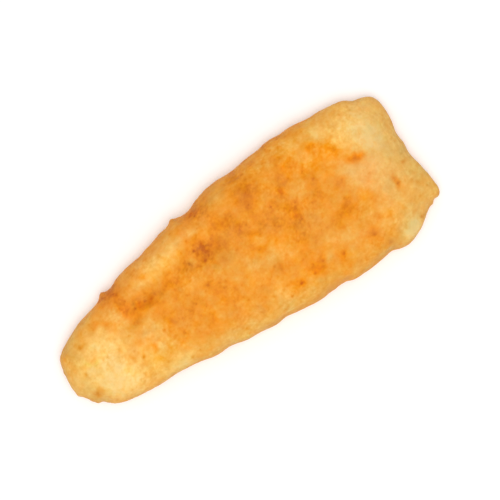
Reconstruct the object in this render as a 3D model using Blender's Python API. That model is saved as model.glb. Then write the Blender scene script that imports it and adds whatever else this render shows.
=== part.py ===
"""A fried fish fillet: one tapered piece of white fish in a thin fried batter.

The fillet lies on its flat underside. +X runs from the narrow tail end to the blunt wide end,
+Y runs across it and +Z is up. The origin is the middle of the footprint, on the surface below.

The solid starts as a box of quads. Its top and bottom sheets are fitted inside the fillet's
outline, its side rows are rolled round the edge, and every height comes from one function.
"""

import math

import bmesh
import bpy
import numpy as np
from mathutils import Vector, noise

MM = 0.001

# Driving dimensions.
LENGTH = 170 * MM
WIDTH = 67.8 * MM
THICKNESS = 20 * MM

# The edge seen from above, in millimetres, clockwise. Each side starts at one of four corners.
UPPER_SIDE = [
    (-81.4, 10.4), (-70, 16.5), (-58, 19.3), (-37, 24.5), (-14, 28.6), (10, 31.5), (42, 32.4), (62, 30.7),
    (77, 26.5),
]
WIDE_END = [(83.4, 23), (84.4, 13.5), (82.3, 0), (83.1, -14)]
LOWER_SIDE = [
    (83, -23.9), (73, -28.2), (61, -33.2), (40, -32.3), (10, -30), (-20, -26.2), (-40, -22.5),
    (-58, -21), (-71, -18.6),
]
TAIL_END = [(-79.5, -13), (-84.8, -5.4), (-84, 3.5)]
CURVE_STEPS = 24  # points of the smooth edge between two listed ones

# Knobs and nicks along the edge: X, Y, reach along it and height outwards, in millimetres.
EDGE_LUMPS = [
    (-53.2, 21.4, 2.2, 1.5),
    (-45, 23, 3, 0.5),
    (-12.5, 29.3, 2.0, 1.0),
    (-5, 30, 3.5, -1.3),
    (7, 31, 5, 0.5),
    (38.5, 33, 3, 1.0),
    (48, 32.5, 3, 0.6),
    (71, 29, 4, 0.8),
    (83, 0, 3, 0.5),
    (83.4, 7, 3.5, -0.7),
    (78, -26.5, 3.5, -0.7),
    (65, -32.5, 6, 0.9),
    (52, -32.5, 4, -1.0),
    (36, -32, 3, 0.7),
    (27, -31, 4, -0.7),
    (-2, -28.5, 3, 0.6),
    (-10, -27.5, 3, -0.3),
    (-22, -25.5, 3, -0.4),
    (-30, -24.4, 4, 0.6),
    (-76.8, -15, 1.5, -0.4),
]

# How thick the fillet is along its length: X and the height there, in millimetres.
THICKNESS_ALONG = [
    (-85, 14), (-68, 16.4), (-50, 16.2), (-25, 18.8), (8, 20), (42, 19), (64, 16.6), (85, 12.6),
]
THICKNESS_BLUR = 8 * MM  # smooths the straight course between those stations
CROWN_LINE = 2.5 * MM  # the thickest line runs a little to the +Y side of the middle
CROWN_DROP = 0.16  # how much lower the top is at the shoulders, as a share of the height
RIM_SHARE = 0.38  # height of the widest line round the edge, as a share of the thickness
SHOULDER = 11 * MM  # how far in from the edge the top becomes level
HEEL = 6 * MM  # how far in from the edge the underside becomes flat

# Swells and hollows in the top: X, Y, half length, half width, turn in degrees and height.
SWELLS = [
    (-66, -5, 13, 12, 10, 0.9),  # plump tail end
    (-49, 9, 3, 12, -12, -1.1),  # crease between the tail end and the body
    (-34, 20, 17, 4.2, 9, 1.0),  # ridge along the +Y side
    (-24, 11, 22, 3.4, 6, -1.0),  # furrow inside that ridge
    (-8, 11, 5, 4.5, 30, -0.6),  # the furrow's deep end
    (-30, -10, 12, 9, 5, 0.5),
    (6, -7, 16, 8, 14, 0.6),
    (22, 14, 18, 9, -8, 0.5),
    (30, -2, 5, 12, 6, -0.5),
    (46, -8, 8, 6, -20, -0.6),
    (60, 14, 11, 9, 0, 0.7),
    (64, 2, 10, 5, -15, 0.4),
    (66, -27, 8, 6, 20, 0.9),  # lobe at the wide end's -Y corner
    (75, 3, 4, 16, 4, -0.5),  # dip across the wide end
]
UNDULATION = 0.55 * MM  # gentle unevenness of the top and the sides
UNDULATION_SIZE = 13 * MM
FLAT_UNDER = 3 * MM  # the unevenness fades out below this height, so the underside stays flat

# The mesh.
ALONG = 74  # quads of a sheet along the fillet
ACROSS = 27  # quads of a sheet across it
SIDE_ROWS = 8  # rows of quads round the edge, half of them above the rim
ROLL = math.radians(46)  # how far round the edge the side rows reach, up and down

BATTER_COLOUR = (0.84, 0.42, 0.09, 1.0)
BATTER_ROUGHNESS = 0.5


def clear_scene():
    for old in list(bpy.data.objects):
        bpy.data.objects.remove(old, do_unlink=True)


def between(p, q, start, end, t):
    """The straight course from p at start to q at end."""
    return ((end - t) * p + (t - start) * q) / (end - start)


def smooth_loop(points):
    """A closed centripetal Catmull-Rom curve through the points."""
    loop = []
    for i in range(len(points)):
        a, b, c, d = (np.array(points[(i + k) % len(points)], float) for k in (-1, 0, 1, 2))
        spans = [math.sqrt(math.dist(p, q)) for p, q in ((a, b), (b, c), (c, d))]
        k0, k1, k2, k3 = np.cumsum([0, *spans])
        t = np.linspace(k1, k2, CURVE_STEPS, endpoint=False)[:, None]
        ab = between(a, b, k0, k1, t)
        bc = between(b, c, k1, k2, t)
        cd = between(c, d, k2, k3, t)
        loop.append(between(between(ab, bc, k0, k2, t), between(bc, cd, k1, k3, t), k1, k2, t))
    return np.concatenate(loop)


def outward(loop):
    """The direction pointing out of a clockwise loop at each of its points."""
    ahead = np.roll(loop, -1, axis=0) - np.roll(loop, 1, axis=0)
    ahead /= np.linalg.norm(ahead, axis=1, keepdims=True)
    return np.stack([-ahead[:, 1], ahead[:, 0]], axis=1)


class Outline:
    """The fillet's edge seen from above, in metres, and its four sides."""

    def __init__(self):
        sides = [UPPER_SIDE, WIDE_END, LOWER_SIDE, TAIL_END]
        smooth = smooth_loop([point for side in sides for point in side])
        out = outward(smooth)
        loop = smooth.copy()
        for x, y, reach, height in EDGE_LUMPS:
            away = np.linalg.norm(smooth - (x, y), axis=1)
            loop += out * (height * np.exp(-((away / reach) ** 2)))[:, None]
        self.loop = loop * MM
        self.inward = -outward(self.loop)
        corners = np.cumsum([0, *(len(side) * CURVE_STEPS for side in sides)])
        self.sides = [self.side(first, last) for first, last in zip(corners, corners[1:])]

    def side(self, first, last):
        """A side's points and inward directions, with each one's share of the way from corner to corner."""
        index = np.arange(first, last + 1) % len(self.loop)
        points = self.loop[index]
        run = np.concatenate([[0], np.cumsum(np.linalg.norm(np.diff(points, axis=0), axis=1))])
        return run / run[-1], points, self.inward[index]

    def at(self, which, share, inset):
        """The points at these shares of a side, moved in from the edge."""
        run, points, inward = self.sides[which]
        x, y = (np.interp(share, run, points[:, k]) for k in (0, 1))
        dx, dy = (np.interp(share, run, inward[:, k]) for k in (0, 1))
        return np.stack([x + dx * inset, y + dy * inset], axis=1)

    def inside(self, u, v, inset):
        """A Coons patch: u runs from the tail end to the wide end, v from the lower to the upper side."""
        start = np.zeros_like(u)
        upper = self.at(0, u, inset)
        wide = self.at(1, 1 - v, inset)
        lower = self.at(2, 1 - u, inset)
        tail = self.at(3, v, inset)
        upper_tail, upper_wide, lower_wide, lower_tail = (self.at(which, start, inset) for which in range(4))
        u, v = u[:, None], v[:, None]
        at_tail = (1 - v) * lower_tail + v * upper_tail
        at_wide = (1 - v) * lower_wide + v * upper_wide
        return (1 - v) * lower + v * upper + (1 - u) * (tail - at_tail) + u * (wide - at_wide)

    def distance(self, points):
        """How far each point is from the edge."""
        return np.array([np.linalg.norm(self.loop - point, axis=1).min() for point in points])


def thickness(plan):
    """The fillet's full height over each plan point, before its edge is rounded."""
    x, y = plan.T
    stations = np.array(THICKNESS_ALONG).T * MM
    shifts = np.linspace(-THICKNESS_BLUR, THICKNESS_BLUR, 17)
    height = np.mean([np.interp(x + shift, *stations) for shift in shifts], axis=0)
    height *= 1 - CROWN_DROP * ((y - CROWN_LINE) / (WIDTH / 2)) ** 2
    for swell_x, swell_y, half_length, half_width, turn, rise in SWELLS:
        dx, dy = x / MM - swell_x, y / MM - swell_y
        cos, sin = math.cos(math.radians(turn)), math.sin(math.radians(turn))
        lengthwise = (dx * cos + dy * sin) / half_length
        crosswise = (dy * cos - dx * sin) / half_width
        height += rise * MM * np.exp(-(lengthwise**2) - crosswise**2)
    return height


def quad_box():
    """A closed box from -1 to 1: a grid of quads above and below, and rows of quads round the sides."""
    box = bmesh.new()
    bmesh.ops.create_grid(box, x_segments=ALONG, y_segments=ACROSS, size=1)
    lower = list(box.verts)
    made = bmesh.ops.extrude_face_region(box, geom=box.faces[:], use_keep_orig=True)["geom"]
    upper = [part for part in made if isinstance(part, bmesh.types.BMVert)]
    bmesh.ops.translate(box, verts=lower, vec=(0, 0, -1))
    bmesh.ops.translate(box, verts=upper, vec=(0, 0, 1))
    upright = [edge for edge in box.edges if edge.verts[0].co.z != edge.verts[1].co.z]
    bmesh.ops.subdivide_edges(box, edges=upright, cuts=SIDE_ROWS - 1, use_grid_fill=True)
    bmesh.ops.recalc_face_normals(box, faces=box.faces[:])
    return box


def fitted(places):
    """Where each point of the box goes on the fillet."""
    outline = Outline()
    u, v, w = places.T
    above = w > 0
    radius = np.where(above, SHOULDER, HEEL)
    roll = np.abs(w) * ROLL
    plan = outline.inside((u + 1) / 2, (v + 1) / 2, radius * (1 - np.cos(roll)))
    inner = 1 - np.clip(outline.distance(plan) / radius, 0, 1)
    on_side = np.maximum(np.abs(u), np.abs(v)) == 1
    rise = np.where(on_side, np.sin(roll), np.sqrt(1 - inner**2))
    height = thickness(plan)
    rim = RIM_SHARE * height
    return np.column_stack([plan, np.where(above, rim + (height - rim) * rise, rim * (1 - rise))])


def undulate(mesh):
    for vert, normal in [(vert, vert.normal.copy()) for vert in mesh.vertices]:
        place = vert.co / UNDULATION_SIZE
        lift = noise.noise(place) + 0.5 * noise.noise(2.3 * place)
        vert.co += normal * UNDULATION * lift * min(1, vert.co.z / FLAT_UNDER)


def set_size(mesh):
    """Scales the mesh to its driving dimensions, with the origin under the middle of its box."""
    corners = np.array([vert.co for vert in mesh.vertices])
    low, high = corners.min(axis=0), corners.max(axis=0)
    origin = Vector(((low[0] + high[0]) / 2, (low[1] + high[1]) / 2, low[2]))
    factors = Vector((LENGTH, WIDTH, THICKNESS) / (high - low))
    for vert in mesh.vertices:
        vert.co = (vert.co - origin) * factors


def batter_material():
    material = bpy.data.materials.new("fried_batter")
    material.use_nodes = True
    shader = material.node_tree.nodes["Principled BSDF"]
    shader.inputs["Base Color"].default_value = BATTER_COLOUR
    shader.inputs["Roughness"].default_value = BATTER_ROUGHNESS
    shader.inputs["Metallic"].default_value = 0.0
    return material


def make_fillet(collection):
    box = quad_box()
    places = np.array([vert.co for vert in box.verts])
    for vert, place in zip(box.verts, fitted(places)):
        vert.co = place
    mesh = bpy.data.meshes.new("fish_fillet")
    box.to_mesh(mesh)
    box.free()
    undulate(mesh)
    set_size(mesh)
    mesh.shade_smooth()
    mesh.materials.append(batter_material())
    collection.objects.link(bpy.data.objects.new("fish_fillet", mesh))


def main():
    clear_scene()
    collection = bpy.data.collections.new("fried_fish_fillet")
    bpy.context.scene.collection.children.link(collection)
    make_fillet(collection)


main()
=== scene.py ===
"""The looks of a fried fish fillet: the fine relief of its batter, how it browned, and the studio.

Places are in millimetres in the fillet's own frame: X from the tail end to the wide end, Y
across, with the origin in the middle of the footprint. Creases and knobs have their true
places. The marks of colour are given as they look from EYE_HEIGHT, straight above the middle
of the picture, so spread() works out where a point of the surface looks to be from there.
"""

import math
import random

import bpy
import numpy as np
from mathutils import Matrix, Vector, noise


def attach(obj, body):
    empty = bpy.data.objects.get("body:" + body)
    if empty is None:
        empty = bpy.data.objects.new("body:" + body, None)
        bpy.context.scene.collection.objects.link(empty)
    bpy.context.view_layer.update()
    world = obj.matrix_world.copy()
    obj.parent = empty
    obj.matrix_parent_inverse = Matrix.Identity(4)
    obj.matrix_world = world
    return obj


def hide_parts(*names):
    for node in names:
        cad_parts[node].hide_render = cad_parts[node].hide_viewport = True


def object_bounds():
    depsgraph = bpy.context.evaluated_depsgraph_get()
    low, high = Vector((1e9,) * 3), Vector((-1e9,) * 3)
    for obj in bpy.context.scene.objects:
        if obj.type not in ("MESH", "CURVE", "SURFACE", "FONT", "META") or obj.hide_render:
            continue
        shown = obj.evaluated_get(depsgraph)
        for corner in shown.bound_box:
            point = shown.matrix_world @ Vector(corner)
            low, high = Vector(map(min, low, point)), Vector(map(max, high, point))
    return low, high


MM = 0.001
NODE = "fish_fillet"

# The crust's mesh. A voxel is the size of its faces.
WELD_DISTANCE = 0.01 * MM
ROUNDING_LEVELS = 2
VOXEL = 0.53 * MM
SMOOTHING_ROUNDS = 8

# Where parts of the surface begin and end, by how far up its normal points: 1 up, -1 down.
SIDE = (0.8, 0.4)  # either up or down
UNDERSIDE = (-0.5, -0.95)
RIM_ABOVE = (0.7, 0.1)
RIM_BELOW = (-0.8, 0.1)
SHOULDER_ABOVE = (0.75, 0.35)
SHOULDER_BELOW = (-0.25, 0.35)
CREASED = (0.0, 0.4)
MARKED = (0.0, 0.3)
RINGED = (0.4, 0.8)
TOP_BROWNED = (-0.1, 0.4)
UNDER_BROWNED = (-0.2, -0.8)

# Relief of the batter: size and height in millimetres.
SWELL = (8.0, 0.30)
LUMP = (3.4, 0.17)
SIDE_LUMPS = 0.5  # how much lower the lumps are on the sides
GRAIN = (1.3, 0.055)
BLISTERS = (170, (0.8, 2.4), (0.10, 0.34))  # count, radius and height
PORES = (520, (0.28, 0.62), (0.10, 0.26))  # count, radius and depth
WRINKLE = (1.3, 5.0, 0.09)  # size along the fillet, size across it, height
WRINKLED_AREA = 14.0  # size of the areas that are wrinkled
WRINKLED = (-0.1, 0.4)  # where in their noise the wrinkles set in
SIDE_HEIGHT = (1.0, 4.0)  # the heights between which the side's relief sets in
UNDER_DENTS = 0.12  # how much of the relief the underside keeps, as dents
UNDER_FLAT = 0.02  # height of the lowest part, which is pressed flat

# Creases in the top: X, Y of both ends, half width and depth.
CREASES = [
    (-53, 21, -50, 14, 1.3, 0.40), (-50, 14, -49, 5, 1.2, 0.40), (-48, 11, -38, 8.5, 1.3, 0.22),
    (15, 29.5, 20, 28.5, 0.7, 0.25), (61, 8, 66, 6.8, 0.9, 0.22), (-80, -9, -76, -11, 0.8, 0.25),
    (-12, 14, -8, 10, 0.7, 0.18),
]

# Knobs and notches of the edge: X, Y, radius and height.
EDGE_LUMPS = [
    (-52.9, 22.4, 1.3, 1.0), (-12.3, 29.9, 1.2, 0.8), (-79.6, -13.0, 1.2, 0.5), (80.5, -25.5, 1.3, -0.6),
    (78.6, -26.3, 1.0, 0.5), (-42, 24.4, 4, 0.35), (-31, 26, 4, -0.25), (12.5, 33, 2.5, 0.35),
    (21, 32.5, 5, -0.28), (57, 32.2, 3, -0.35), (67, 31.2, 4, 0.3), (76, 27.3, 2, -0.35), (84.5, 19, 4, 0.25),
    (83, 1, 4, 0.5), (84, -17, 4, 0.5), (70.5, -30.5, 4, 0.6), (54, -31.8, 3, -0.9), (42, -32.8, 3, 0.5),
    (31.5, -31.2, 1.5, -0.45), (26, -30.9, 1.8, 0.35), (17, -30.8, 4, 0.4), (3, -29, 3, -0.35),
    (-14.5, -27.5, 4, 0.4), (-30, -25, 4, 0.45), (-52, -21.7, 6, 0.5), (-77.8, -14.3, 1.4, -0.45),
    (-81.3, -11.3, 1.3, 0.4), (-84.3, -6, 1.5, 0.3), (-81.7, 10.7, 3, 0.3), (84, -22, 2.5, 0.35),
    (83.2, -9, 3.5, 0.4), (83.5, 9.5, 3, 0.2), (73, 29, 3, 0.3),
]

# How brown the middle of the top is along the fillet: X and browning, from 0 cream to 1 brown.
BROWNING_ALONG = [
    (-85, 0.30), (-80, 0.27), (-75, 0.14), (-64, 0.10), (-60, 0.19), (-56, 0.36), (-50, 0.44), (-42, 0.43),
    (-38, 0.64), (-28, 0.70), (0, 0.68), (30, 0.70), (52, 0.66), (58, 0.50), (64, 0.35), (72, 0.25),
    (78, 0.30), (85, 0.35),
]

# Patches that are more or less browned: X, Y, half length, half width, turn in degrees, change.
CREASE_PATCHES = [
    (-50, 20, 6, 3.2, 8, 0.50), (-49, 13, 2.2, 4.5, -8, 0.32), (-44, 10.2, 6, 3.4, -5, 0.34),
    (-37.5, 8.3, 4.2, 3.2, -10, 0.26), (-47, 5, 3.5, 2.5, 10, 0.34), (-42, 15, 3, 7, 0, 0.22),
    (-28, 9, 8, 2.6, 0, 0.10), (-24, 2.5, 4, 5, 0, 0.06), (-29, 19.5, 10, 3.6, 6, -0.34),
    (-38, 16.5, 3, 2, 20, -0.24), (-19, 21, 5, 4, 0, -0.26), (-54, 11, 3, 3, 0, -0.12),
]
BODY_PATCHES = [
    (-9, 12.5, 5, 4, 25, 0.26), (-8, 13, 1.1, 3.2, 10, 0.16), (-11, 8.5, 2, 1.4, 30, 0.18),
    (-2, 10.5, 5, 3, 0, 0.20), (-18, 12, 3, 2, 0, 0.14), (-14.5, 12, 1.2, 2, 0, -0.15),
    (-12, 17, 4, 3, 0, 0.12), (-3, 27.3, 4.5, 2.2, -5, 0.36), (-9, 21, 3.5, 2.2, 0, -0.16),
    (1, 22, 2.5, 3, 0, 0.14), (3, 18, 5, 2.6, 15, 0.18), (8, 12, 3.5, 5, 0, 0.15), (7, 27, 3, 2.2, 0, -0.16),
    (14, 6, 6, 6, 0, 0.08), (18, 19.5, 4, 5.5, -15, 0.28), (17.5, 29, 2.6, 1.8, 0, 0.34),
    (21, 13.5, 2.5, 2.5, 0, -0.16), (33, 16.5, 4, 3.4, 0, 0.20), (37, 11, 5, 3, 0, -0.12),
    (44, 12, 3, 5, 0, 0.14), (47.5, 9.5, 1.6, 3, 0, -0.12), (43, 3, 3, 3, 0, 0.12), (47, 26, 7, 3, 0, -0.22),
    (46, 19.5, 3, 3, 0, -0.12), (36, 24, 3, 4, 0, 0.10), (30, 30, 8, 2.2, 0, -0.10), (31, 4, 2.6, 6, 0, 0.25),
    (22, 6, 5, 4, 0, 0.10), (27, -3, 3.5, 9, 0, 0.12), (14, 2, 2, 1.5, 0, -0.16), (8, -5, 12, 3.4, -4, -0.18),
    (-20, 3, 2, 3, 0, -0.16), (-6, 2, 6, 2.5, 0, -0.10), (-15, 0, 3, 3, 0, 0.14), (-27, -4, 6, 4, 0, 0.08),
    (-12, -6, 6, 3, -30, 0.14), (-23, -13, 4, 2.6, 0, 0.08), (-35, -1, 3, 3, 0, 0.10),
    (-18, -13, 2, 2.5, 0, -0.16), (12, -11, 5, 3, 0, 0.10), (44, -9, 5, 3.5, 15, 0.18),
    (49.5, -6.5, 2.5, 2.5, 0, 0.26), (52, 3, 3, 1.6, 0, 0.18), (16, -21, 1.8, 2.4, 0, 0.21),
    (25.5, -18.8, 4.6, 3.0, 0, 0.15), (37, -22, 2, 3.2, 0, 0.12), (51.5, -21.5, 2.4, 2.6, 0, 0.18),
    (58, -17.5, 2, 1.6, 0, 0.12), (7, -19, 3, 6, 0, -0.22), (40, -16, 7, 4, 0, -0.16),
    (34, -14, 4, 3, 0, -0.10), (-3, -22, 3, 3, 0, 0.06),
]
LOWER_SIDE_PATCHES = [
    (-44, -20, 7, 2.2, -3, -0.24), (-20, -24, 16, 4, -6, -0.34), (-33, -21.5, 4, 1.4, -12, 0.10),
    (-35, -17.5, 6, 3, 0, -0.18), (10, -27, 16, 3.4, -4, -0.20), (40, -31, 12, 2.5, 0, -0.14),
]
WIDE_END_PATCHES = [
    (51, 22, 2.6, 2.2, -30, 0.26), (57.5, 16.5, 2.2, 4, 20, 0.24), (63.5, 7.5, 4, 1.9, -8, 0.85),
    (57, 5.5, 2.5, 3.5, 0, -0.20), (58, -1, 3, 2.5, 0, -0.12), (57, 25, 5, 4, 0, -0.20),
    (65, 17, 3, 6, 10, -0.14), (73, 13, 4.5, 9, 0, -0.24), (66, 28, 6, 3, -8, 0.12), (60, -9, 4, 3, 10, 0.20),
    (67, -8, 3, 3, 0, -0.10), (74, -17, 9, 11, 0, 0.12), (71.5, -10.5, 1.3, 2.8, 0, 0.45),
    (64.5, -29.5, 4, 2.2, 25, -0.32), (68, -28, 3.2, 2.6, -35, -0.30), (66.5, -31, 3, 2, 0, -0.14),
    (69.5, 9, 3, 3, 0, -0.12),
]
TAIL_END_PATCHES = [
    (-78, -10.5, 2.6, 1.8, 0, 0.42), (-66, 17, 14, 6, 17, 0.34), (-62.5, 13.5, 3.4, 1.8, 10, 0.36),
    (-79, 6, 4, 4, 30, 0.16), (-57, -7, 1.5, 2, 0, 0.06), (-70, -19, 10, 3, -14, 0.18),
    (-73, 9.5, 2.5, 1.6, 40, 0.20), (-58, 9, 3, 3.4, 0, 0.16), (-67, -9, 8, 6, 0, -0.08),
]
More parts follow.
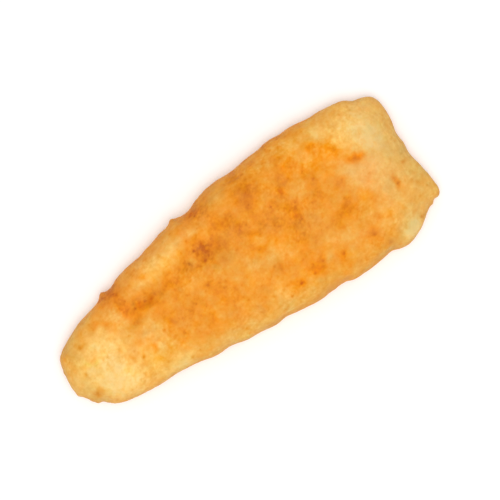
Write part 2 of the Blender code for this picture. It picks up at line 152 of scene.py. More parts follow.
SMALL_MARKS = [
    (-36.5, 19.5, 1.8, 1.8, 0, 0.28), (-20, 24, 1.3, 1.3, 0, 0.12), (-73, 12, 2.5, 1.6, -60, 0.08),
    (-58, 11, 1.8, 1.6, 0, 0.22), (-64, 9, 1.3, 1.3, 0, 0.12), (-72, 2, 6, 1.3, 0, 0.26),
    (-76, -8, 1.8, 4, 10, 0.18), (-74.5, -14, 1.5, 1.5, 0, 0.12), (-60, -1, 1, 1, 0, 0.16),
    (-54.5, 1, 1.5, 1.2, 0, 0.20), (-62.5, -4, 1, 1, 0, 0.16), (-57.5, -5, 1.1, 1.1, 0, 0.20),
    (-51, -3.5, 1.4, 0.9, 0, 0.18), (-48, -13.5, 1, 3.5, 0, 0.10), (-43, -12.5, 1.3, 1.3, 0, 0.14),
    (-35, -6, 1.2, 4.5, 10, 0.14), (-28, -15, 1.6, 1.3, -30, 0.14), (-18, 7.5, 1, 1, 0, 0.12),
    (-14.5, 1, 1.1, 1.1, 0, 0.10), (-17.5, -8, 2, 1, 0, 0.14), (-8.2, 13, 1.2, 2.4, 0, 0.12),
    (-7.5, 4, 1.5, 1.5, 0, 0.10), (-3, 4, 1.3, 1.3, 0, 0.10), (-8, -4.5, 1.5, 1.3, 0, 0.18),
    (-6.8, -9, 1, 2, 0, 0.14), (-3, -15, 3, 1, 10, 0.10), (1, 23, 1.4, 2, 0, 0.12),
    (-0.5, 13, 1.2, 2, 0, 0.10), (8, 19, 3, 1.2, 0, 0.10), (10, 11.5, 3.5, 1.3, -20, 0.12),
    (15.5, 16.5, 1.4, 1.4, 0, 0.10), (24, 18, 2.5, 1.3, 30, 0.12), (26, 23, 1.3, 2.6, 0, 0.10),
    (26, 30, 1.3, 1.3, 0, 0.10), (33, 17, 2.4, 2, 0, 0.16), (26, 11, 1.6, 2.6, 0, 0.10),
    (22.5, 5, 1, 2.4, 0, 0.10), (40, 5.5, 1, 2, 0, 0.18), (42.5, 8.7, 1.2, 1.2, 0, 0.16),
    (40.5, 22, 1.5, 1.5, 0, 0.08), (57, 12, 1.5, 1.5, 0, 0.14), (48, 27, 1, 2, 20, 0.16),
    (62.5, 25, 2, 1.3, 0, 0.12), (32, -1, 1.3, 1.3, 0, 0.10), (10, -9, 2, 1.4, 20, 0.12),
    (12.5, -13, 1.4, 2, 30, 0.10), (31, -13.5, 3.5, 1, 10, 0.10), (41, -8, 0.9, 3.5, 0, 0.10),
    (44, -12, 4, 0.9, 0, 0.10), (28.5, -20.5, 1, 1, 0, 0.10), (55, -6.5, 1.2, 1.2, 0, 0.12),
    (71, -10, 1, 2.2, 0, 0.18), (62.5, -19.5, 1.2, 2, 0, 0.20), (68.5, -21, 1.4, 1.2, 0, 0.20),
    (65, -23, 1.2, 1, 0, 0.10), (79, -15.5, 1.3, 1.3, 0, 0.12), (72, -28, 4, 1, 30, 0.22),
    (54.5, -28.5, 1.2, 1.2, 0, 0.18), (12, -28, 1.2, 1.2, 0, 0.12), (82, 11, 1.2, 1.5, 0, 0.14),
    (-79, 7, 1.2, 1.2, 0, -0.12), (-51, 11.5, 1, 2, 0, -0.14), (-46.5, 7, 2, 0.9, 0, -0.10),
    (-45, -8.5, 1.1, 1.1, 0, -0.22), (-51, -10, 1, 3, 0, -0.14), (-59, -14, 2, 2, 0, -0.16),
    (-21, 7, 1, 1, 0, -0.16), (-18.5, -1.5, 2, 1.4, 0, -0.20), (12, 3, 1.5, 2.4, 0, -0.18),
    (20, -9.5, 2.4, 2, 0, -0.20), (9, -21, 1.3, 1.3, 0, -0.18), (20, -19, 1.4, 1.4, 0, -0.18),
    (29, 3.5, 1, 1, 0, -0.14), (34, 28, 1.3, 1.3, 0, -0.16), (43.5, 28.5, 1.6, 1.4, 0, -0.14),
    (48, 20, 3, 1.2, 0, -0.18), (55.5, 23, 1.6, 1.4, 0, -0.18), (60.5, 17, 1.2, 2.8, 0, -0.18),
    (53, 8.5, 2, 1.2, 0, -0.16), (46.5, 8.5, 1, 1, 0, -0.14), (65.5, 7.5, 1.4, 1.4, 0, -0.14),
    (64, -6, 3, 1.4, 0, -0.12), (66, -16.5, 3, 1, 0, -0.16), (40, -24.5, 2.4, 1.4, 0, -0.16),
    (77, 22, 1.4, 1.4, 0, -0.12), (80, 17, 1.1, 1.1, 0, -0.12), (80, 6, 1.2, 1.2, 0, -0.12),
    (-70.5, 10.5, 1.3, 2.3, 0, 0.20), (-57.5, 11, 1.4, 1.4, 0, 0.16), (-66, 17, 1.5, 1, 0, 0.10),
    (-70.5, 0, 1.3, 1, 0, 0.14), (-59.7, -1, 1, 1, 0, 0.16), (-57, -5.5, 0.8, 1.6, 0, 0.10),
    (-62, -3.5, 0.9, 1.2, 0, 0.12), (-62.5, -7.8, 1, 1, 0, 0.12), (-53.5, -8.5, 1, 1.4, 0, 0.16),
    (-47, -7.6, 1, 1.2, 0, 0.30), (-46.5, -15.5, 1, 1.4, 0, 0.16), (-42.5, -12.5, 1, 2, 0, 0.16),
    (-35.5, 18, 1.4, 1.4, 0, 0.20), (-34.5, -3, 1, 2, 0, 0.14), (-33.5, -10.5, 1.3, 1.3, 0, 0.24),
    (-30.5, -5, 2, 2, 0, 0.08), (-27, -14.5, 1, 1.5, 0, 0.14), (-24.5, 12, 1.5, 1.5, 0, 0.14),
    (-31, 20, 1, 1, 0, 0.12), (-13.5, -0.5, 1.2, 1.5, 0, 0.14), (-17, 7, 1.4, 1, 0, 0.12),
    (-6.5, -9, 0.9, 2.2, 0, 0.12), (-7, -4, 1.4, 1, 0, 0.10), (-11.5, -19, 0.9, 1.5, 0, 0.10),
    (0.5, 20, 0.9, 2, 0, 0.10), (-1.5, 12.5, 2, 3, 0, 0.06), (12, 24, 2.5, 1, -10, 0.12),
    (5, 30.5, 1.5, 1, 0, 0.14), (26, 30, 1.5, 1, 0, 0.12), (32.5, 14, 1.8, 1.3, 0, 0.14),
    (34.5, 7.5, 1, 1.3, 0, 0.16), (42.5, 13, 1, 2, 0, 0.12), (44.5, 4, 1, 1, 0, 0.14),
    (41.5, 8, 1.5, 1, 0, 0.10), (37, 0, 2, 1, 0, 0.08), (55, 4, 1.5, 1, 0, 0.10), (58.5, 28, 1, 1, 0, 0.12),
    (57.5, 12.5, 1, 1, 0, 0.10), (65, 17, 1, 1, 0, 0.12), (73.5, 20.5, 1.3, 1, 0, 0.12),
    (75, 14, 1, 2, 0, 0.08), (61.5, -21.5, 0.9, 1.8, 0, 0.24), (65.5, -23, 1.5, 1, 0, 0.14),
    (70, -9, 1, 2.5, 0, 0.14), (72, -5, 1.2, 1, 0, 0.12), (78, -15.5, 1.2, 1, 0, 0.12),
    (78, -5, 1, 1, 0, 0.10), (55, -29, 1.2, 1, 0, 0.14), (-75, -8, 0.9, 2, 0, 0.10),
    (-73.5, -14.5, 1.5, 1, 0, 0.12), (-60, -19.7, 1.5, 0.9, 0, 0.12), (-44.8, -8.7, 1.2, 1.2, 0, -0.25),
    (-60, -6, 1.2, 1.5, 0, -0.12), (29, 3, 1.2, 1.2, 0, -0.14), (20, -23, 3, 2, 0, -0.12),
    (8.5, -19.5, 1.5, 1.5, 0, -0.12), (31, -23, 1.2, 1.2, 0, -0.12), (66, 7.5, 2, 1.3, 0, -0.15),
    (56, 0, 1.5, 1.5, 0, -0.10), (37.5, 21.5, 1, 3, 0, -0.12), (50, 18, 3, 1.2, 0, -0.12),
    (55, 22.5, 1, 2, 0, -0.10), (17, 27, 2, 1.3, 0, -0.14), (13, 30.5, 1.3, 1, 0, -0.10),
    (6.5, 25.5, 1.5, 1, 0, -0.08), (-17, 26, 1, 1.5, 0, -0.10), (-20.5, 7, 1, 1, 0, -0.14),
    (-47, 17, 1.5, 1, 0, -0.10), (-18, -1, 1, 2, 0, -0.10), (36.5, -9, 2, 1, 0, -0.10),
    (38.5, -13.5, 1.2, 2, 0, -0.12), (66, 26.5, 1.5, 1, 0, -0.10), (51.5, 30, 1, 1, 0, -0.10),
    (41, 24, 2, 1, 0, -0.10), (44, 25.5, 1.4, 1.4, 0, -0.08), (-48, 7.5, 3, 1, 0, 0.14),
    (-70.5, 0.3, 1, 1, 0, 0.12), (-61, -8.5, 1.2, 1, 0, 0.12), (-70, 7, 1, 1, 0, 0.10),
    (-63, 6, 1, 1, 0, 0.10), (-53, -15.5, 1.4, 1, 0, 0.10), (-41, -15, 1, 1.4, 0, 0.12),
    (-44, -2, 1, 1, 0, 0.10), (-24, -19, 1, 2, 0, 0.12), (-16, -9, 1, 1, 0, 0.08), (-22, -8, 3, 2, 0, 0.05),
    (8, 11, 1.5, 3, 0, 0.12), (14, 23, 2, 2, 0, 0.10), (3, 22.5, 1.2, 1, 0, 0.12), (2, 17, 3, 3, 0, 0.06),
    (5, 0, 1, 1.2, 0, 0.13), (19.5, 0.5, 1, 1.2, 0, 0.12), (21.5, 10, 1, 1, 0, 0.10),
    (16.5, 6, 0.9, 1, 0, 0.10), (32, -4.5, 1, 1.2, 0, 0.14), (31, -12, 2, 2, 0, 0.08),
    (32, 31, 1.2, 1, 0, 0.10), (41, 19, 3, 2, 0, 0.08), (48, 8, 1, 1.4, 0, 0.12), (42, -2, 1.2, 1, 0, 0.08),
    (37, 6, 1, 1, 0, 0.08), (55, 4, 2, 1, 0, 0.16), (63, 12, 1.5, 1, 0, 0.15), (66, 14.5, 1, 1.2, 0, 0.12),
    (59, 14, 1, 3, 0, 0.12), (63, 22.5, 1.5, 1.4, 0, 0.14), (68.5, 18, 1, 1, 0, 0.12),
    (60, -28, 1.2, 3, 0, 0.18), (56, -6, 3, 2, 0, 0.07), (70, -24, 1.4, 1, 0, 0.12),
    (80, -17, 1.2, 1, 0, 0.12), (72, -7, 1, 1.2, 0, 0.10), (23, -25, 1, 1, 0, 0.08),
    (1.5, -24, 1, 1, 0, 0.08), (5, -14, 1, 2, 0, 0.10), (-79, -8.5, 2.5, 2, 0, -0.10),
    (-58, 13, 1.2, 1.2, 0, -0.08), (-51, 5, 1.4, 1, 0, -0.08), (-27.5, 14.5, 2, 1, 0, -0.13),
    (-36, 15, 1.2, 1.2, 0, -0.10), (-7, -14.5, 1.2, 1.4, 0, -0.11), (12.5, 4.5, 3, 2, 0, -0.09),
    (14, 0, 1, 1, 0, -0.10), (12.5, -20.5, 2, 1, 0, -0.12), (20, -12, 3, 2, 0, -0.06),
    (39, -23, 3, 3, 0, -0.08), (29.5, 3, 1, 1.2, 0, -0.12), (29.5, 15, 1, 1.2, 0, -0.12),
    (31, 10, 1, 1, 0, -0.08), (46, 15, 1, 1.4, 0, -0.12), (37.5, 19, 1, 1.4, 0, -0.10),
    (47, 25, 1, 1.2, 0, -0.10), (39, 28, 1.2, 1, 0, -0.12), (32, 26, 1, 1, 0, -0.08),
    (16, 27.5, 2, 1, 0, -0.10), (58, 7.5, 2, 1, 0, -0.15), (75.5, 12, 1, 3, 0, -0.12),
    (62, 3, 2, 2, 0, -0.09), (68, 8, 1.4, 1.2, 0, 0.12), (59.5, -9.5, 2, 1.5, 0, 0.08),
    (3.5, -19.5, 1.2, 1.4, 0, -0.12), (28, -21, 1, 1.2, 0, 0.12), (54.5, 3, 1.4, 1, 0, 0.09),
    (44.5, 17, 1, 1.4, 0, 0.10), (-46.5, -8, 1, 1.2, 0, 0.10), (-61, -9.5, 1.2, 1, 0, 0.10),
    (73, -1.5, 1.2, 1, 0, -0.12), (60, -2, 1.4, 1, 0, -0.08), (67, 25.5, 1, 1, 0, -0.08),
]
BROWN_PATCHES = (
    SMALL_MARKS + CREASE_PATCHES + BODY_PATCHES + LOWER_SIDE_PATCHES + WIDE_END_PATCHES + TAIL_END_PATCHES
)
PATCH_FALL = 0.8  # how fast a patch fades from its middle

# Rings of browner batter: X, Y, radius, half width and change.
RINGS = [
    (12, 2.6, 3.6, 0.9, 0.13), (-19, -13, 2.8, 0.8, 0.09), (22, 10.6, 1.7, 0.6, 0.16),
    (-39, 4, 3.2, 1.0, 0.06),
]

# Browning elsewhere. Layers of noise are a size in millimetres and a change each.
SIDE_BROWNING = 0.40
SIDE_VARIATION = [(9.0, 0.20)]
UNDER_BROWNING = 0.58
UNDER_VARIATION = [(16.0, 0.33), (7.0, 0.22)]
RIM_BROWNING = 0.21
RIM_MOTTLES = [(9.0, 0.25), (4.0, 0.25)]  # how uneven the rim's browning, and its dullness and painted shade, are
MOTTLES = [(8.0, 0.04), (4.5, 0.105), (2.4, 0.17)]

# The view that the marks' places are given for, and the waviness of the marks' edges.
EDGE_HEIGHT = 8.0
EYE_HEIGHT = 564.0  # above the edge
WARPS = [(3.6, 0.80, 11, 12), (1.2, 0.32, 16, 17)]  # size, shift, seed for X and seed for Y

# Grain: what makes the batter both browner and darker.
GRAINS = [(1.3, 0.10), (0.8, 0.09)]
GRAIN_STRENGTH = (0.45, 0.85)  # least, and how much more it is in grainy areas
GRAINY_AREA = 11.0  # size of those areas
GRAINY = (-0.15, 0.4)  # where in their noise they begin and end
FRECKLES = (420, (0.25, 0.55), (0.05, 0.14))  # count, radius and change
SPECKS = (150, (0.40, 0.80), (0.10, 0.28))
GRAIN_DARKNESS = 0.32  # how dark the grain is for its browning

# Dark dots of the top: X, Y, radius and change.
DOTS = [
    (-12.1, 14.8, 0.7, 0.39), (-40, 9.7, 0.7, 0.28), (-45, 9.4, 0.6, 0.24), (-44.5, 11.5, 0.7, 0.21),
    (-18, 13, 0.5, 0.24), (-16.6, 11.5, 0.5, 0.21), (-41.5, -0.5, 0.6, 0.17), (-40.5, -4.5, 0.6, 0.32),
    (-53.6, -8.6, 0.6, 0.40), (-46.3, -16, 0.5, 0.21), (-15.4, 0, 0.7, 0.21), (11, -9.5, 0.6, 0.28),
    (8.5, -19.5, 0.6, 0.21), (10, -23.6, 0.6, 0.32), (16, -21.5, 0.7, 0.32), (28.6, -19.2, 0.9, 0.24),
    (37.2, -21.3, 0.8, 0.32), (38.5, -4.5, 0.5, 0.21), (-24.8, 21.5, 0.7, 0.21), (-15.8, 20.8, 0.7, 0.21),
    (-8.3, 18.4, 0.6, 0.24), (-12.2, 19.8, 0.5, 0.21), (-72.5, 9.3, 0.9, 0.28), (-10.7, 9, 0.9, 0.21),
    (-33, 8, 0.9, 0.15), (-50, 15.5, 0.9, 0.17), (-46.6, 14.2, 0.5, 0.17), (78.3, -5, 0.8, 0.24),
    (72, -11, 0.8, 0.15), (64.4, -0.9, 0.6, 0.21), (62.4, -1.2, 0.5, 0.17), (57.3, -17.6, 0.8, 0.17),
    (60, -11.5, 0.7, 0.17), (71.5, -27.7, 0.7, 0.28), (55.6, -28.5, 0.8, 0.24), (75.8, -20.4, 0.7, 0.21),
    (51.5, -22.3, 0.8, 0.12), (52, -10.5, 0.9, 0.15), (-77.3, -9.8, 0.9, 0.32), (-72.4, -16.5, 0.6, 0.24),
    (-57.3, -6.5, 0.7, 0.17), (-55.2, -4.6, 0.6, 0.24), (-60, -0.6, 0.5, 0.17),
]

# How dull the batter is, from 0 golden to 1 olive, partly painted shade in the bands along the edges and over
# the wide end: the same columns as the patches of browning.
DULL_AND_SHADE_PATCHES = [
    (80, 4, 6, 24, 0, 0.26), (70, 0, 5, 9, 0, 0.10), (72, -25, 8, 6, 30, 0.14), (64, -28, 6, 3, 10, 0.16),
    (60, 4, 4, 3, -20, 0.18), (60, -2.5, 2.4, 2, 0, 0.16), (68, -9.5, 2.5, 3.5, 0, 0.24),
    (54, -30, 3, 2, 0, 0.16), (55.5, -28.5, 1.3, 1.3, 0, 0.14), (70.5, -21, 1.5, 1.5, 0, 0.12),
    (74.5, -23.5, 2, 1, 0, 0.16), (45, -30, 20, 3.5, -3, 0.08), (23, -25, 1.2, 1.2, 0, 0.16),
    (31.5, -19.5, 1.6, 1.8, 0, 0.14), (-3, -21.5, 1, 2, 0, 0.16), (-14, -26.5, 1.3, 1.1, 0, 0.12),
    (-8, -26, 45, 4.5, -6.8, 0.10), (-80, -6, 3, 5, -30, 0.14), (-78, -13, 4, 2, -40, 0.12),
    (-79, 8, 5, 4, 40, 0.12), (-72, 15.5, 9, 3, 25, 0.12), (4, 30, 9, 3, 0, 0.10), (11, 28, 5, 1.2, 0, 0.10),
    (75, 14, 1.5, 6, 0, 0.12), (78, 12, 1.2, 5, 0, 0.08), (76, 0, 2, 4, 0, 0.12),
    (-48, -1.5, 1.8, 1.6, 0, 0.14), (35.5, -1.5, 1.8, 2.5, 20, 0.10), (56, 16, 7, 6, 0, -0.16),
    (42, 19, 6, 5, 0, -0.08), (-28, 18, 12, 2.5, 3, -0.10), (-5, 19, 4, 2.5, 0, -0.10),
    (14, -1, 7, 4, -20, -0.10), (10, -20, 3, 4, 0, -0.14), (20, -18, 1.5, 5, 0, -0.08),
    (57, -7, 3, 3, 0, -0.10), (62, -19, 3, 2, 0, -0.08), (-50, -8, 4, 9, 0, -0.10),
    (-60, -6, 2, 9, -15, -0.10), (-72, 2, 8, 2, 0, -0.12), (-46, -4, 3, 1.2, 0, -0.10),
    (-57, -14.5, 1.4, 3, 0, -0.12), (-37, -12, 1.2, 2.4, 0, -0.12), (-43, 10, 1, 2, 0, -0.12),
    (29, 3, 1.3, 1.3, 0, -0.20), (37, 20, 1.3, 3, 0, -0.14), (53, 22, 2, 1.5, 0, -0.12),
    (65.5, 7.5, 1.5, 1, 0, -0.20), (25, -20, 4, 2, 10, -0.12), (80, -17, 1.4, 2.5, 0, -0.12),
    (-42, 10, 1.4, 1.4, 0, -0.12), (-78, -1, 1, 1, 0, -0.14), (32, 13, 1.2, 1.6, 0, -0.10),
    (25, 13, 1.3, 1.3, 0, -0.10), (13, 6, 2, 1.2, -40, -0.10), (37, 17, 1.2, 1.2, 0, -0.10),
    (38, 26, 1, 1, 0, -0.10), (-5, 27.5, 1.4, 1, 0, -0.10), (19, 22, 1.5, 1.2, 0, -0.08),
    (52, -3.5, 2.4, 1.2, 0, -0.12), (52, -8, 2, 1, 0, -0.08), (13, -20, 1.4, 1.4, 0, -0.10),
    (17, -21, 1.2, 1.2, 0, -0.12), (23, -21, 1.2, 1.2, 0, -0.10), (36.5, -22.5, 1, 1.2, 0, -0.10),
    (46, -30, 1.4, 1, 0, -0.10), (-56, -16, 1.2, 1.2, 0, -0.12), (-18, -0.5, 1, 1, 0, -0.10),
    (-40, -4, 4, 3, 0, -0.06), (-34, -12, 3, 3, 0, -0.06), (-55, 20.5, 2, 1, 0, -0.08),
    (-50, 13, 1.2, 1.2, 0, -0.08), (-80, 8, 1, 2.5, 0, -0.10), (-45, 4, 3, 1, 0, 0.10),
    (-42, -19, 4, 0.9, 0, 0.10), (-10, 24.5, 1.2, 1.5, 0, 0.12), (11, 25.5, 1, 2, 0, 0.10),
    (68.5, -17, 1, 1, 0, 0.12), (78, -22, 1.2, 1.2, 0, 0.12), (-75, -13, 3, 2, 0, 0.08),
    (-66, 16.5, 2, 1.5, 0, 0.08), (75, 20, 1, 1.5, 0, 0.08), (31, 14, 1.2, 1.4, 0, -0.10),
    (34, 16.5, 1.4, 1, 0, -0.08), (9, 13, 1.6, 2, 0, -0.08), (14, 21, 1.2, 1, 0, -0.08),
    (-8, 15.5, 1.2, 1.2, 0, -0.10), (-47.5, 13, 1, 3, 0, -0.08), (-77, -1, 1, 1, 0, -0.10),
    (-4.5, 27.5, 1.2, 1, 0, -0.10), (20.5, 5, 1.2, 1.4, 0, -0.08), (30, 1.5, 1, 1.4, 0, -0.10),
    (25, 11.5, 1.4, 1, 0, -0.08), (-38, 9, 1.4, 1, 0, -0.10), (80, 17, 2, 2, 0, 0.10),
    (-14, -26.5, 1.4, 1, 0, 0.10), (-31, -24, 1.6, 1, 0, 0.08), (-38, -18, 2, 1, 0, 0.06),
]
DULL_MOTTLES = [(9.0, 0.09), (4.5, 0.09), (2.3, 0.05)]
SIDE_MOTTLING = 0.4  # how much of this mottling the sides and the underside have
BASE_DULL = 0.015
SHOULDER_DULL_AND_SHADE = 0.13  # painted shade where the top turns over into the side, all round, on batter a little duller there
LOWER_PAINTED_SHADE = 0.06  # more painted shade where that faces -X or -Y, toward the key light
LOWER_FACING = (0.0, 0.9)  # how far it faces there, from where this sets in to where it is full

# How much darker the batter is than its browning: the same columns again.
DARK_PATCHES = [
    (-8, 12, 3.2, 4, 0, 0.03), (-5, 5.5, 5, 2.5, 10, 0.07), (-9, 5, 2, 1.4, 0, 0.10),
    (-12.5, 8.5, 1.4, 1.3, 0, 0.08), (-18.5, 10.5, 2.5, 2, 0, 0.11), (-50, 19, 4, 3, 0, 0.09),
    (-48, 3.3, 2.5, 1.5, 0, 0.12), (-25.5, 5, 1.1, 1.8, 0, 0.13), (-44, 23.5, 1.2, 1, 0, 0.12),
    (-4, -20, 1, 1.2, 0, 0.10), (0.5, 19, 0.9, 1, 0, 0.08), (25, 22.5, 1.1, 1, 0, 0.14),
    (23, 4.5, 1, 1, 0, 0.10), (44, 4.5, 1, 1, 0, 0.10), (58.5, 15.5, 0.9, 0.9, 0, 0.08),
    (24, -19, 1.8, 1.2, 0, 0.13), (27.5, -21, 1, 1, 0, 0.08), (-48, 22.5, 1.4, 1, 0, 0.10),
    (-44.5, 11, 1.1, 1, 0, 0.12), (20, 24, 1.2, 1.2, 0, 0.09), (46, 11, 1, 1, 0, 0.10),
    (-53.7, -8.6, 0.9, 0.9, 0, 0.08), (-77, -10, 2, 3, 10, 0.05), (17.5, 29.5, 3, 2, 0, 0.08),
    (20, 22, 4, 4, -20, 0.08), (7, 18, 3, 2, 0, 0.05), (1, 19.5, 1, 1, 0, 0.06),
    (24, 25.5, 3, 1.4, -10, 0.08), (23, 20.5, 1.2, 1.2, 0, 0.05), (32, -1, 3, 3, 0, 0.06),
    (48, -7, 3, 2.5, 0, 0.05), (12, -11, 3, 2.5, 0, 0.05), (41, 5, 2, 1.4, 10, 0.08),
    (44, 12.5, 2, 1.2, 0, 0.07), (25, -2, 1, 3, 0, 0.06), (-16.5, 11.5, 0.8, 2, 10, 0.12),
]
DARK_MOTTLES = [(4.5, 0.03), (2.3, 0.03)]

# How pink the batter is, and how green below 0: the same columns again.
PINK_PATCHES = [
    (64, 1, 8, 7, 0, 0.15), (64, -11, 5, 8, 0, 0.05), (72, 4, 3, 8, 0, 0.02), (76, 22, 5, 4, 0, 0.05),
    (-46, 13, 7, 6, 0, 0.05), (-54, 16, 8, 3, 20, 0.07), (-40, 22, 25, 3, 4, 0.06), (-8, 22, 12, 3, 0, 0.08),
    (17, 20, 6, 6, 0, 0.05), (8, 10, 3, 3, 0, 0.03), (48, -21, 3, 3, 0, 0.07), (-48, -13, 6, 4, -10, -0.16),
    (-77, 0, 4, 10, 0, -0.06), (-75, 11, 5, 4, 30, -0.05), (-26, 17, 7, 3, 0, -0.09),
    (44, 28, 10, 2.5, 0, -0.06), (8, -26, 24, 2, -5, -0.07), (60, -28, 10, 3, 10, -0.06),
    (56, -8, 2.5, 3, 0, -0.06), (61, 17, 6, 4, 0, -0.06), (-32, -20, 8, 2, -5, -0.06),
    (81, -12, 3, 8, 0, -0.10), (-73.7, 2, 0.9, 1.4, 30, -0.35), (-70.7, 0.3, 1.4, 0.9, 20, -0.35),
]
PINK_MOTTLES = [(5.0, 0.06), (2.5, 0.06)]

# Colours of the batter by browning, of dull batter and painted shade, and of pink batter, linear.
BATTER_COLOURS = [
    (0.00, (0.908, 0.607, 0.214)),
    (0.20, (0.914, 0.529, 0.132)),
    (0.40, (0.863, 0.427, 0.080)),
    (0.60, (0.843, 0.345, 0.037)),
    (0.80, (0.821, 0.276, 0.012)),
    (1.00, (0.705, 0.206, 0.005)),
    (1.20, (0.560, 0.128, 0.003)),
]
DARKEST = 1.2
DULL_AND_SHADE_COLOUR = (0.42, 0.31, 0.11)
PINK_COLOUR = (0.99, 0.28, 0.10)

# The batter's surface. A noise is its scale and detail.
SPECKLE_NOISE = (900.0, 4.0)
SPECKLE = 0.26  # how much the finest speckle changes the browning
BUMP_NOISE = (1400.0, 3.0)
BUMP_STRENGTH = 0.15
BUMP_HEIGHT = 0.1 * MM
ROUGHNESS = 0.55
SPECULAR = 0.12
SCATTER_SHARE = 0.08
SCATTER_RADIUS = (1.0, 0.5, 0.2)
SCATTER_SCALE = 0.8 * MM

# The studio, in metres and watts.
FLOOR_SIZE = 6
FLOOR_DROP = 0.0002
FLOOR_COLOUR = (0.97, 0.97, 0.97, 1)
FLOOR_ROUGHNESS = 0.9
FLOOR_GLOW = 0.06
SKY_STRENGTH = 0.66
KEY_PLACE = (-0.05, -0.17, 1.0)
KEY_SIZE = 0.8
KEY_POWER = 5.0

# The camera, in millimetres for the lens and sensor.
CAMERA_LENS = 100
CAMERA_SENSOR = 36
FRAME_WIDTH = 1.194  # of the fillet's length
EDGE_SHARE = 0.4  # height of the edge, of the fillet's height
FRAME_CENTRE = (6.8 * MM, 1.8 * MM)
CAMERA_TURN = math.radians(35.44)  # how far +X points above the picture's horizontal


def unit(values, start, end):
    """A smooth step from 0 at start to 1 at end, whichever of them is the greater."""
    t = np.clip((values - start) / (end - start), 0, 1)
    return t * t * (3 - 2 * t)


def bell(away):
    """1 in the middle, fading smoothly outwards."""
    return np.exp(-(away**2))


def even_mesh(node):
    """The frame's solid as one even mesh of small quads."""
    piece = bpy.data.objects.new("fried_crust", node.data.copy())
    bpy.context.scene.collection.objects.link(piece)
    weld = piece.modifiers.new("weld", "WELD")
    weld.merge_threshold = WELD_DISTANCE
    rounding = piece.modifiers.new("rounding", "SUBSURF")
    rounding.levels = rounding.render_levels = ROUNDING_LEVELS
    remesh = piece.modifiers.new("remesh", "REMESH")
    remesh.mode = "VOXEL"
    remesh.voxel_size = VOXEL
    smooth = piece.modifiers.new("smooth", "SMOOTH")
    smooth.iterations = SMOOTHING_ROUNDS
    evaluated = piece.evaluated_get(bpy.context.evaluated_depsgraph_get())
    mesh = bpy.data.meshes.new_from_object(evaluated)
    piece.modifiers.clear()
    piece.data = mesh
    return piece


def read(mesh, what):
    """The vertices' places or normals, a row each."""
    values = np.empty(len(mesh.vertices) * 3)
    mesh.vertices.foreach_get(what, values)
    return values.reshape(-1, 3)


def wave(points, size, seed):
    """Smooth noise from about -1 to 1 at each point; size is its wavelength in millimetres."""
    shift = Vector((seed * 17.3, seed * 5.1, seed * 9.7))
    return np.array([noise.noise(Vector(p) / size + shift) for p in points])


def waves(points, layers, first_seed):
    """The sum of layers of noise, whose seeds count up from the first."""
    return sum(change * wave(points, size, seed) for seed, (size, change) in enumerate(layers, first_seed))


def dimples(points, count, radii, heights, seed):
    """The height of many small round bumps scattered over the surface."""
    picker = random.Random(seed)
    places = [points[picker.randrange(len(points))] for _ in range(count)]
    total = np.zeros(len(points))
    for place in places:
        radius = picker.uniform(*radii)
        height = picker.uniform(*heights)
        near = np.abs(points - place).max(axis=1) < 2 * radius
        away = np.linalg.norm(points[near] - place, axis=1) / radius
        total[near] += height * bell(away)
    return total


def creases(points):
    """How deep the creases are at plan places."""
    total = np.zeros(len(points))
    for x0, y0, x1, y1, half_width, depth in CREASES:
        start, along = np.array([x0, y0]), np.array([x1 - x0, y1 - y0])
        share = np.clip((points - start) @ along / (along @ along), 0, 1)[:, None]
        away = np.linalg.norm(points - start - share * along, axis=1) / half_width
        total += depth * bell(away)
    return total


def edge_lumps(points):
    """How far the knobs of the edge stand out at plan places."""
    total = np.zeros(len(points))
    for x, y, radius, height in EDGE_LUMPS:
        total += height * bell(np.linalg.norm(points - (x, y), axis=1) / radius)
    return total


def wrinkles(points):
    """Fine folds that run across the fillet, in some areas of it."""
    along, across, height = WRINKLE
    wrinkled = unit(wave(points, WRINKLED_AREA, seed=6), *WRINKLED)
    return height * wrinkled * wave(points * (1, along / across, 1), along, seed=7)


def relief(points, normals):
    """How far the batter stands out of the plain solid, in millimetres."""
    up = normals[:, 2]
    side = unit(np.abs(up), *SIDE) * unit(points[:, 2], *SIDE_HEIGHT)
    height = SWELL[1] * wave(points, SWELL[0], seed=1) * (1 - side)
    height += LUMP[1] * wave(points, LUMP[0], seed=2) * (1 - SIDE_LUMPS * side)
    height += GRAIN[1] * wave(points, GRAIN[0], seed=3)
    height += wrinkles(points)
    height += dimples(points, *BLISTERS, seed=4)
    height -= dimples(points, *PORES, seed=5)
    height += edge_lumps(points[:, :2]) * side
    height -= creases(points[:, :2]) * unit(up, *CREASED)
    return height


def moved(points, normals):
    """The points moved out by the relief, with only shallow dents left in the underside."""
    height = relief(points, normals)
    under = unit(normals[:, 2], *UNDERSIDE)
    points = points + normals * (height - under * (height + UNDER_DENTS * np.abs(height)))[:, None]
    points[:, 2] = np.maximum(points[:, 2], points[:, 2].min() + UNDER_FLAT)
    return points


def fit_inside(points, low, high):
    """Scales the points so that their box is the frame's, with the underside kept flat."""
    lowest, highest = points.min(axis=0), points.max(axis=0)
    return low + (points - lowest) * (high - low) / (highest - lowest)


def patched(x, y, patches):
    """The sum of soft oval patches."""
    total = np.zeros_like(x)
    for patch_x, patch_y, half_length, half_width, turn, change in patches:
        cos, sin = math.cos(math.radians(turn)), math.sin(math.radians(turn))
        lengthwise = ((x - patch_x) * cos + (y - patch_y) * sin) / half_length
        crosswise = ((y - patch_y) * cos - (x - patch_x) * sin) / half_width
        total += change * np.exp(-PATCH_FALL * (lengthwise**2 + crosswise**2))
    return total


def spread(points):
    """Plan places as they look from the height of the eye."""
    middle = np.array(FRAME_CENTRE) / MM
    nearer = (points[:, 2:] - EDGE_HEIGHT) / EYE_HEIGHT
    return middle + (points[:, :2] - middle) / (1 - nearer)


def warped(points):
    """Those places shifted by noise, so that the patches get wavy edges."""
    x, y = spread(points).T
    for size, shift, x_seed, y_seed in WARPS:
        x = x + shift * wave(points, size, x_seed)
        y = y + shift * wave(points, size, y_seed)
    return x, y


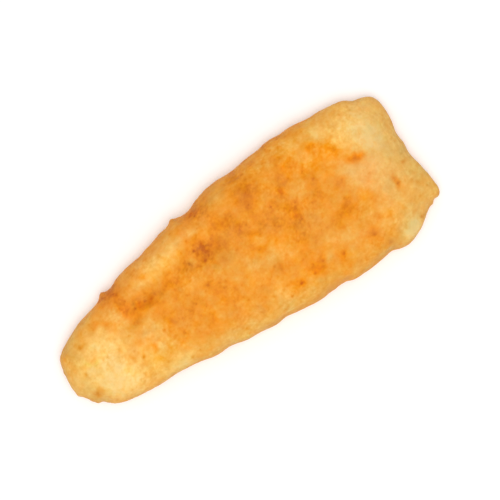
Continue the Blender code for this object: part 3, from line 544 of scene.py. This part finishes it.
def rim(up):
    """1 along the shoulder of the edge, 0 where the surface lies flat and low on the side."""
    return unit(up, *RIM_ABOVE) * unit(up, *RIM_BELOW)


def shoulder(up):
    """1 where the top turns over into the side, 0 on both."""
    return unit(up, *SHOULDER_ABOVE) * unit(up, *SHOULDER_BELOW)


def rings(x, y):
    """The rings of browner batter."""
    total = np.zeros_like(x)
    for ring_x, ring_y, radius, half_width, change in RINGS:
        total += change * bell((np.hypot(x - ring_x, y - ring_y) - radius) / half_width)
    return total


def browning_of(points, normals, x, y):
    """From 0 cream to 1 brown at each point, which looks to be at x, y."""
    up = normals[:, 2]
    top = np.interp(x, *np.array(BROWNING_ALONG).T) + patched(x, y, BROWN_PATCHES)
    side = SIDE_BROWNING + waves(points, SIDE_VARIATION, first_seed=13)
    under = UNDER_BROWNING + waves(points, UNDER_VARIATION, first_seed=14)
    browning = side + (top - side) * unit(up, *TOP_BROWNED)
    browning += (under - side) * unit(up, *UNDER_BROWNED)
    browning += waves(points, MOTTLES, first_seed=21)
    browning += rings(x, y) * unit(up, *RINGED)
    return browning + RIM_BROWNING * rim(up) * (1 + waves(points, RIM_MOTTLES, first_seed=51))


def dots(points):
    """The dark dots at plan places."""
    total = np.zeros(len(points))
    for x, y, radius, change in DOTS:
        total += change * bell(np.linalg.norm(points - (x, y), axis=1) / radius)
    return total


def grain_of(points, normals):
    """Fine marks that make the batter both browner and darker."""
    least, more = GRAIN_STRENGTH
    strength = least + more * unit(wave(points, GRAINY_AREA, seed=20), *GRAINY)
    grain = strength * waves(points, GRAINS, first_seed=26)
    grain += dots(spread(points)) * unit(normals[:, 2], *MARKED)
    return grain + dimples(points, *FRECKLES, seed=31) + dimples(points, *SPECKS, seed=32)


def dullness_and_shade_of(points, normals, x, y):
    """From 0 golden to 1 olive: the batter's dullness, with painted shade where the top turns over into the
    side.
    """
    top = unit(normals[:, 2], *MARKED)
    # dull patches, partly painted shade in the bands along the edges and over the wide end
    dull_and_shade = BASE_DULL + patched(x, y, DULL_AND_SHADE_PATCHES) * top
    dull_and_shade += waves(points, DULL_MOTTLES, first_seed=36) * (SIDE_MOTTLING + (1 - SIDE_MOTTLING) * top)
    lower = LOWER_PAINTED_SHADE * unit(-normals[:, 0] - normals[:, 1], *LOWER_FACING)
    # painted shade where the top turns over into the side, with more of it toward the key light
    edge = shoulder(normals[:, 2]) * (SHOULDER_DULL_AND_SHADE + lower)
    return dull_and_shade + edge * (1 + waves(points, RIM_MOTTLES, first_seed=51))


def darkness_of(points, normals, x, y):
    """From 0 to 1 black."""
    dark = patched(x, y, DARK_PATCHES) * unit(normals[:, 2], *MARKED)
    return dark + waves(points, DARK_MOTTLES, first_seed=46)


def pinkness_of(points, normals, x, y):
    """From 0 to 1 pink."""
    pink = patched(x, y, PINK_PATCHES) * unit(normals[:, 2], *MARKED)
    return pink + waves(points, PINK_MOTTLES, first_seed=56)


def make_crust(frame, box):
    """The batter as one mesh, with its tints at each vertex."""
    piece = even_mesh(frame["nodes"][NODE])
    mesh = piece.data
    points, normals = read(mesh, "co") / MM, read(mesh, "normal")
    low, high = (np.array(corner) / MM for corner in box)
    points = fit_inside(moved(points, normals), low, high)
    mesh.vertices.foreach_set("co", (points * MM).ravel())
    x, y = warped(points)
    grain = grain_of(points, normals)
    tints = {
        "browning": (browning_of(points, normals, x, y) + grain) / DARKEST,
        "dullness_and_shade": dullness_and_shade_of(points, normals, x, y),
        "darkness": darkness_of(points, normals, x, y) + GRAIN_DARKNESS * grain,
        "pinkness": pinkness_of(points, normals, x, y),
    }
    for name, values in tints.items():
        mesh.attributes.new(name, "FLOAT", "POINT").data.foreach_set("value", values)
    mesh.shade_smooth()
    mesh.materials.clear()
    mesh.materials.append(batter_material())
    mesh.update()
    return piece


class Shader:
    """A short way to add nodes to a material and to join them."""

    def __init__(self, name):
        self.material = bpy.data.materials.new(name)
        self.material.use_nodes = True
        self.tree = self.material.node_tree
        self.principled = self.tree.nodes["Principled BSDF"]

    def feed(self, node, inputs):
        """Joins each input to another node's output, or sets its value."""
        for key, value in inputs.items():
            if isinstance(value, bpy.types.NodeSocket):
                self.tree.links.new(value, node.inputs[key])
            else:
                node.inputs[key].default_value = value

    def add(self, kind, inputs=None, **settings):
        node = self.tree.nodes.new(kind)
        for key, value in settings.items():
            setattr(node, key, value)
        self.feed(node, inputs or {})
        return node

    def attribute(self, name):
        return self.add("ShaderNodeAttribute", attribute_name=name).outputs["Fac"]

    def noise(self, place, scale, detail):
        inputs = {"Vector": place, "Scale": scale, "Detail": detail}
        return self.add("ShaderNodeTexNoise", inputs).outputs["Fac"]

    def math(self, operation, *values):
        return self.add("ShaderNodeMath", dict(enumerate(values)), operation=operation).outputs[0]

    def ramp(self, level, colours):
        node = self.add("ShaderNodeValToRGB", {"Fac": level})
        elements = node.color_ramp.elements
        while len(elements) < len(colours):
            elements.new(0.5)
        for element, (position, colour) in zip(elements, colours):
            element.position = position / DARKEST
            element.color = (*colour, 1)
        return node.outputs["Color"]

    def mix(self, share, colour, other):
        """Mixes in a colour; a share below 0 takes it away."""
        inputs = {0: share, 6: colour, 7: (*other, 1)}  # the sockets for colours
        return self.add("ShaderNodeMix", inputs, data_type="RGBA", clamp_factor=False).outputs[2]


def batter_material():
    shader = Shader("fried_batter")
    place = shader.add("ShaderNodeTexCoord").outputs["Object"]
    speckle = shader.math("MULTIPLY_ADD", shader.noise(place, *SPECKLE_NOISE), SPECKLE, -SPECKLE / 2)
    level = shader.math("ADD", shader.attribute("browning"), speckle)
    golden = shader.ramp(level, BATTER_COLOURS)
    # the olive mix carries the batter's dullness and the painted shade at its edges
    dulled_and_shaded = shader.mix(shader.attribute("dullness_and_shade"), golden, DULL_AND_SHADE_COLOUR)
    pinked = shader.mix(shader.attribute("pinkness"), dulled_and_shaded, PINK_COLOUR)
    darkness = shader.math("MULTIPLY_ADD", speckle, GRAIN_DARKNESS, shader.attribute("darkness"))
    darkened = shader.mix(darkness, pinked, (0, 0, 0))
    fine = shader.noise(place, *BUMP_NOISE)
    bump = {"Height": fine, "Strength": BUMP_STRENGTH, "Distance": BUMP_HEIGHT}
    looks = {
        "Base Color": darkened,
        "Normal": shader.add("ShaderNodeBump", bump).outputs["Normal"],
        "Roughness": ROUGHNESS,
        "Specular IOR Level": SPECULAR,
        "Subsurface Weight": SCATTER_SHARE,
        "Subsurface Radius": SCATTER_RADIUS,
        "Subsurface Scale": SCATTER_SCALE,
    }
    shader.feed(shader.principled, looks)
    return shader.material


def floor_material():
    shader = Shader("floor")
    looks = {
        "Base Color": FLOOR_COLOUR,
        "Roughness": FLOOR_ROUGHNESS,
        "Emission Color": (1, 1, 1, 1),
        "Emission Strength": FLOOR_GLOW,
    }
    shader.feed(shader.principled, looks)
    return shader.material


def make_floor():
    bpy.ops.mesh.primitive_plane_add(size=FLOOR_SIZE, location=(0, 0, -FLOOR_DROP))
    floor = bpy.context.object
    floor.name = "floor"
    floor.data.materials.append(floor_material())


def make_sky():
    world = bpy.data.worlds.new("studio")
    world.use_nodes = True
    background = world.node_tree.nodes["Background"]
    background.inputs["Color"].default_value = (1, 1, 1, 1)
    background.inputs["Strength"].default_value = SKY_STRENGTH
    bpy.context.scene.world = world


def make_key_light():
    light = bpy.data.lights.new("key", "AREA")
    light.shape = "DISK"
    light.size = KEY_SIZE
    light.energy = KEY_POWER
    lamp = bpy.data.objects.new("key", light)
    lamp.location = KEY_PLACE
    lamp.rotation_euler = (-Vector(KEY_PLACE)).to_track_quat("-Z", "Y").to_euler()
    bpy.context.scene.collection.objects.link(lamp)


def make_camera(box):
    """A camera over the fillet, which looks straight down."""
    length = box[1][0] - box[0][0]
    edge_height = box[1][2] * EDGE_SHARE
    distance = FRAME_WIDTH * length * CAMERA_LENS / CAMERA_SENSOR
    camera = bpy.data.cameras.new("camera")
    camera.lens = CAMERA_LENS
    camera.sensor_width = CAMERA_SENSOR
    holder = bpy.data.objects.new("camera", camera)
    cos, sin = math.cos(CAMERA_TURN), math.sin(CAMERA_TURN)
    right, up, back = Vector((cos, -sin, 0)), Vector((sin, cos, 0)), Vector((0, 0, 1))
    turned = Matrix((right, up, back)).transposed().to_4x4()
    holder.matrix_world = Matrix.Translation((*FRAME_CENTRE, edge_height + distance)) @ turned
    bpy.context.scene.collection.objects.link(holder)
    bpy.context.scene.camera = holder


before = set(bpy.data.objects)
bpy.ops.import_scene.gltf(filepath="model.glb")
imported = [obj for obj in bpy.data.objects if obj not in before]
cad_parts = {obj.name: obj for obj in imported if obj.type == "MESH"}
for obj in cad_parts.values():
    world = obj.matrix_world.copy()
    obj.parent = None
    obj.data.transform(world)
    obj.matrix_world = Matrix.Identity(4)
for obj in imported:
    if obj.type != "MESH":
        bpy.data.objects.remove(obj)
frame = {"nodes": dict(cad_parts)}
cad_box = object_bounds()
bpy.context.scene.view_settings.view_transform = "Standard"
crust = make_crust(frame, cad_box)
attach(crust, "root")
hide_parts(NODE)
make_floor()
make_sky()
make_key_light()
make_camera(cad_box)
